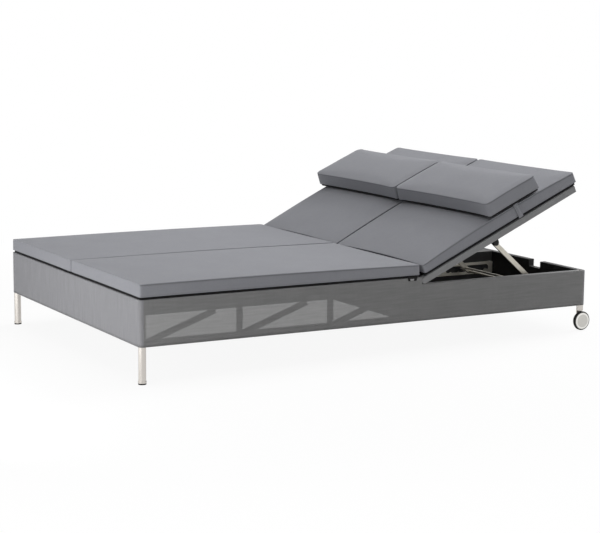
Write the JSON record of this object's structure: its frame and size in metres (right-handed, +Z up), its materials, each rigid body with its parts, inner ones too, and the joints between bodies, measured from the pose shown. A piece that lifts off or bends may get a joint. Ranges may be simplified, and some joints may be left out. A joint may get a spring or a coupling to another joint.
{
  "type": "double chaise lounger",
  "caption": "Low double garden lounger on legs and wheels, with mesh skirt, reclining propped backs, cushions and sliding head pillows.",
  "frame": {"origin": "bottom centre of the whole lounger's box: midway across and along, on the ground", "axes": "+X to the right for someone at the foot end who looks to the head end, +Y from foot to head, +Z up"},
  "size_m": [1.364, 2.0234, 0.6659],
  "materials": {
    "cushion_fabric": "woven outdoor cushion fabric, mid grey",
    "mesh_fabric": "see-through outdoor mesh, grey",
    "wrapped_frame": "aluminium tube and board wrapped in grey mesh",
    "frame_tube": "powder coated aluminium tube, dark grey",
    "leg_steel": "satin stainless tube",
    "prop_steel": "bead blasted stainless",
    "black_plastic": "black moulded plastic",
    "well_panel": "black lining panel",
    "tyre": "black rubber",
    "wheel_metal": "satin silver"
  },
  "bodies": {
    "base": {"bulkhead": "well_panel", "deck_bearers": "frame_tube", "deck_frame": "frame_tube", "foot_board": "wrapped_frame", "foot_end_rails": "frame_tube", "foot_glides": "black_plastic", "foot_leg_left": "leg_steel", "foot_leg_right": "leg_steel", "head_board": "well_panel", "head_bottom_rail": "frame_tube", "head_legs": "leg_steel", "hinge_lugs": "leg_steel", "hinge_pins": "leg_steel", "partition": "well_panel", "ratchet_plates": "prop_steel", "ratchet_standoffs": "prop_steel", "seat_cushion_left": "cushion_fabric", "seat_cushion_right": "cushion_fabric", "seat_slings": "mesh_fabric", "side_rails_left": "frame_tube", "side_rails_right": "frame_tube", "skirt_foot": "mesh_fabric", "skirt_head": "mesh_fabric", "skirt_side_left": "mesh_fabric", "skirt_side_right": "mesh_fabric", "tag": "black_plastic", "truss_diagonals_left": "frame_tube", "truss_diagonals_right": "frame_tube", "truss_posts": "frame_tube", "well_floors": "well_panel", "well_liners": "well_panel", "wheel_axles": "leg_steel", "wheel_stems": "leg_steel"},
    "back_left": {"back_cross_bars_left": "frame_tube", "back_cushion_left": "cushion_fabric", "back_rail_inner_left": "wrapped_frame", "back_rail_outer_left": "wrapped_frame", "back_sling_left": "mesh_fabric", "prop_eyes_left": "black_plastic"},
    "prop_left": {"prop_bolts_left": "leg_steel", "prop_rods_left": "prop_steel", "prop_struts_left": "prop_steel"},
    "pillow_left": {"pillow_left": "cushion_fabric", "pillow_strap_left": "cushion_fabric"},
    "wheel_left": {"tyre_left": "tyre", "wheel_disc_left": "wheel_metal"},
    "back_right": {"back_cross_bars_right": "frame_tube", "back_cushion_right": "cushion_fabric", "back_rail_inner_right": "wrapped_frame", "back_rail_outer_right": "wrapped_frame", "back_sling_right": "mesh_fabric", "prop_eyes_right": "black_plastic"},
    "prop_right": {"prop_bolts_right": "leg_steel", "prop_rods_right": "prop_steel", "prop_struts_right": "prop_steel"},
    "pillow_right": {"pillow_right": "cushion_fabric", "pillow_strap_right": "cushion_fabric"},
    "wheel_right": {"tyre_right": "tyre", "wheel_disc_right": "wheel_metal"}
  },
  "joints": [
    {"name": "back_left_recline", "type": "hinge", "parent": "base", "child": "back_left", "pos_m": [-0.6535, 0.2005, 0.27478], "axis": [1, 0, 0], "range_deg": [-24.3, 6]},
    {"name": "prop_left_swing", "type": "hinge", "parent": "back_left", "child": "prop_left", "pos_m": [-0.612, 0.56328, 0.39069], "axis": [1, 0, 0], "range_deg": [-14.5, 58.2]},
    {"name": "pillow_left_slide", "type": "slide", "parent": "back_left", "child": "pillow_left", "axis": [0, 0.9181, 0.3964], "range_m": [-0.12, 0.09]},
    {"name": "wheel_left_spin", "type": "hinge", "parent": "base", "child": "wheel_left", "pos_m": [-0.6655, 0.97271, 0.039], "axis": [1, 0, 0], "continuous": true},
    {"name": "back_right_recline", "type": "hinge", "parent": "base", "child": "back_right", "pos_m": [0.6535, 0.2005, 0.27478], "axis": [1, 0, 0], "range_deg": [-24.3, 6]},
    {"name": "prop_right_swing", "type": "hinge", "parent": "back_right", "child": "prop_right", "pos_m": [0.612, 0.56328, 0.39069], "axis": [1, 0, 0], "range_deg": [-14.5, 58.2]},
    {"name": "pillow_right_slide", "type": "slide", "parent": "back_right", "child": "pillow_right", "axis": [0, 0.9181, 0.3964], "range_m": [-0.12, 0.09]},
    {"name": "wheel_right_spin", "type": "hinge", "parent": "base", "child": "wheel_right", "pos_m": [0.6655, 0.97271, 0.039], "axis": [1, 0, 0], "continuous": true}
  ],
  "couplings": [
    {"joint": "prop_left_swing", "follows": "back_left_recline", "ratio": -2.39},
    {"joint": "prop_right_swing", "follows": "back_right_recline", "ratio": -2.39}
  ]
}
